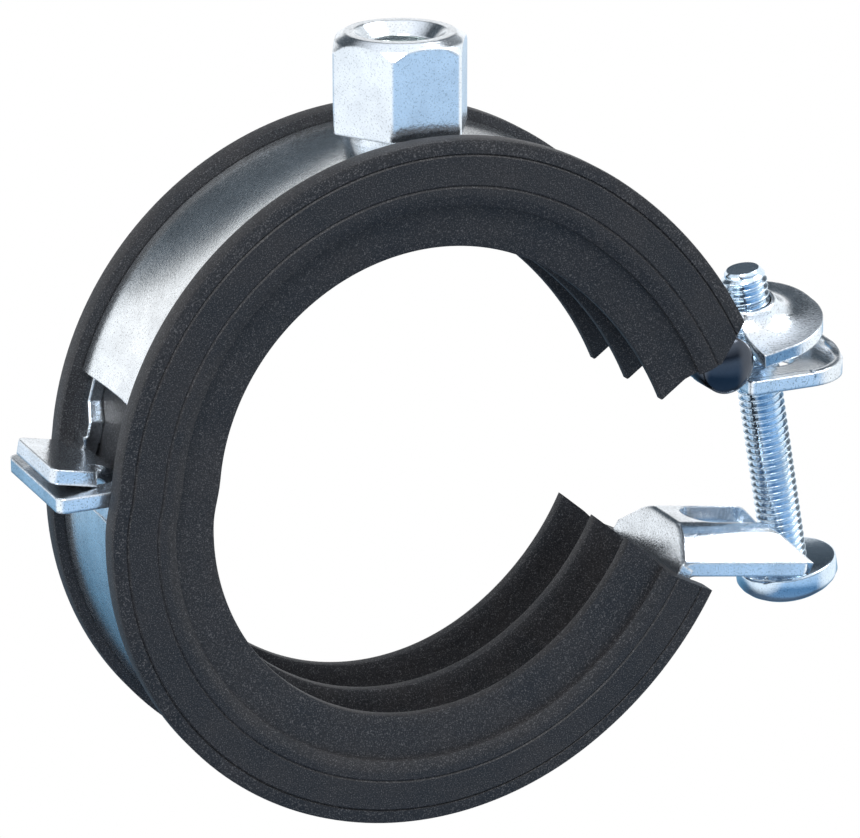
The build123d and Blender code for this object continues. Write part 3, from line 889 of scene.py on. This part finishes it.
def make_world():
    world = bpy.data.worlds.new("studio")
    bpy.context.scene.world = world
    world.use_nodes = True
    # Metal and rubber see different rooms, so no lamp stands in for the world
    world.cycles.sampling_method = "NONE"
    nodes, links = world.node_tree.nodes, world.node_tree.links
    background = nodes["Background"]
    background.inputs["Color"].default_value = (0.93, 0.95, 1.0, 1.0)
    background.inputs["Strength"].default_value = 0.34
    seen = nodes.new("ShaderNodeBackground")
    seen.inputs["Color"].default_value = (1, 1, 1, 1)
    seen.inputs["Strength"].default_value = 1.0
    path = nodes.new("ShaderNodeLightPath")
    most = nodes.new("ShaderNodeMath")
    most.operation = "MAXIMUM"
    links.new(path.outputs["Is Camera Ray"], most.inputs[0])
    links.new(path.outputs["Is Transmission Ray"], most.inputs[1])
    mix = nodes.new("ShaderNodeMixShader")
    links.new(most.outputs[0], mix.inputs[0])
    links.new(background.outputs[0], mix.inputs[1])
    links.new(seen.outputs[0], mix.inputs[2])
    # What metal reflects: pale walls up to eye height, a dark ceiling and a blue cast from below
    way = nodes.new("ShaderNodeTexCoord").outputs["Generated"]
    split = nodes.new("ShaderNodeSeparateXYZ")
    links.new(way, split.inputs[0])

    def by_height(stops):
        height = nodes.new("ShaderNodeMapRange")
        height.inputs["From Min"].default_value = -1.0
        links.new(split.outputs["Z"], height.inputs["Value"])
        return ramp(nodes, links, height.outputs["Result"], [((z + 1) / 2, colour) for z, colour in stops])

    behind = by_height(
        [
            (-1.0, (0.10, 0.14, 0.20)),
            (-0.72, (0.06, 0.09, 0.13)),
            (-0.52, (0.10, 0.22, 0.34)),
            (-0.30, (0.26, 0.44, 0.62)),
            (-0.12, (0.95, 0.97, 1.0)),
            (0.24, (1.0, 1.0, 1.0)),
            (0.36, (0.10, 0.12, 0.14)),
            (0.66, (0.04, 0.05, 0.06)),
            (0.90, (0.9, 0.94, 1.0)),
        ]
    )
    before = by_height(
        [
            (-1.0, (0.16, 0.28, 0.44)),
            (-0.62, (0.10, 0.22, 0.38)),
            (-0.42, (0.36, 0.54, 0.76)),
            (-0.10, (0.52, 0.68, 0.86)),
            (0.12, (0.08, 0.11, 0.16)),
            (0.50, (0.85, 0.92, 1.0)),
            (0.90, (1.0, 1.0, 1.0)),
        ]
    )

    def step(axis, start, end):
        share = nodes.new("ShaderNodeMapRange")
        share.interpolation_type = "SMOOTHSTEP"
        share.inputs["From Min"].default_value = start
        share.inputs["From Max"].default_value = end
        links.new(split.outputs[axis], share.inputs["Value"])
        return share.outputs["Result"]

    front, rear = before.outputs["Color"], behind.outputs["Color"]
    walls = blend_colour(nodes, links, "MIX", step("Y", -0.35, 0.25), front, rear)
    walls = blend_colour(nodes, links, "MIX", step("X", -0.45, -0.85), walls, (0.92, 0.96, 1.0))
    walls = blend_colour(nodes, links, "MIX", step("X", 0.62, 0.9), walls, (0.95, 0.98, 1.0))
    room = nodes.new("ShaderNodeBackground")
    links.new(walls, room.inputs["Color"])
    room.inputs["Strength"].default_value = 1.15
    glossy = nodes.new("ShaderNodeMixShader")
    links.new(path.outputs["Is Glossy Ray"], glossy.inputs[0])
    links.new(mix.outputs[0], glossy.inputs[1])
    links.new(room.outputs[0], glossy.inputs[2])
    links.new(glossy.outputs[0], nodes["World Output"].inputs["Surface"])


def area_light(name, place, target, size, power, colour=(1.0, 1.0, 1.0)):
    data = bpy.data.lights.new(name, "AREA")
    data.shape = "RECTANGLE"
    data.size, data.size_y = size
    data.energy = power
    data.color = colour
    lamp = bpy.data.objects.new(name, data)
    bpy.context.scene.collection.objects.link(lamp)
    lamp.location = place
    lamp.rotation_euler = (Vector(target) - Vector(place)).to_track_quat("-Z", "Y").to_euler()
    return lamp


def make_floor():
    # Pale, white to the eye, and out of what the metal reflects.
    nothing_selected()
    bpy.ops.mesh.primitive_plane_add(size=6.0, location=(0, 0, -0.3))
    floor = start_piece("floor")
    bpy.ops.object.transform_apply(location=True)
    material, nodes, links, shader = start_material("pale_floor")
    shader.inputs["Base Color"].default_value = (0.9, 0.9, 0.9, 1)
    shader.inputs["Roughness"].default_value = 0.9
    glow = nodes.new("ShaderNodeEmission")
    glow.inputs["Strength"].default_value = 1.0
    path = nodes.new("ShaderNodeLightPath")
    mix = nodes.new("ShaderNodeMixShader")
    links.new(path.outputs["Is Camera Ray"], mix.inputs[0])
    links.new(shader.outputs[0], mix.inputs[1])
    links.new(glow.outputs[0], mix.inputs[2])
    clear = nodes.new("ShaderNodeBsdfTransparent")
    unseen = nodes.new("ShaderNodeMixShader")
    links.new(path.outputs["Is Glossy Ray"], unseen.inputs[0])
    links.new(mix.outputs[0], unseen.inputs[1])
    links.new(clear.outputs[0], unseen.inputs[2])
    links.new(unseen.outputs[0], nodes["Material Output"].inputs["Surface"])
    give(floor, material)


def make_camera():
    data = bpy.data.cameras.new("camera")
    data.sensor_width = SENSOR
    data.sensor_fit = "HORIZONTAL"
    data.lens = FOCAL_PIXELS / PICTURE_WIDTH * SENSOR
    data.clip_start = 0.01
    camera = bpy.data.objects.new("camera", data)
    bpy.context.scene.collection.objects.link(camera)
    azimuth, elevation = radians(AZIMUTH), radians(ELEVATION)
    right = Vector((cos(azimuth), sin(azimuth), 0.0))
    back = Vector((sin(azimuth) * cos(elevation), -cos(azimuth) * cos(elevation), sin(elevation)))
    up = back.cross(right)
    place = right * CAMERA_RIGHT + up * CAMERA_UP + back * CAMERA_BACK
    camera.matrix_world = Matrix.Translation(place) @ Matrix((right, up, back)).transposed().to_4x4()
    bpy.context.scene.camera = camera


def main():
    bpy.context.scene.view_settings.view_transform = "Standard"
    make_camera()
    make_world()
    make_floor()
    area_light("key", (-0.35, -0.45, 0.75), (0, 0, 0), (0.4, 0.4), 5.0)
    area_light("side", (0.5, -0.1, 0.66), (0, 0, 0), (0.5, 0.4), 3.0)
    # The upper strap's zinc is painted near black round the curls, a painted reflection of the black lining.
    give_node("upper_strap", zinc_plate("zinc_on_upper_strap", edge=0.0004, paint_curl_dark=True))
    give_node("lower_strap", zinc_plate("zinc_on_lower_strap"))
    give_node("nut_plate", zinc_plate("zinc_under_nut_plate"))
    give_node("connection_boss", zinc_plate("zinc_on_boss", edge=0.0004, speckle=0.7))
    rubber = moulded_rubber("rubber")
    give_node("upper_lining", rubber)
    give_node("lower_lining", rubber)
    make_lining()
    make_screw()
    make_fork()
    make_nut_plate()
    make_band(
        "upper_band", "upper_half", (0.0, 0.0), UPPER_FLARE_START, UPPER_FLARE, HINGE_WINDOW_ANGLE, 24.0
    )
    make_band("lower_band", "lower_half", LOWER_CENTRE, LOWER_FLARE_START, LOWER_FLARE, -182.0, -32.0)
    make_curls()
    make_ear_rim()
    make_bore_thread()


main()
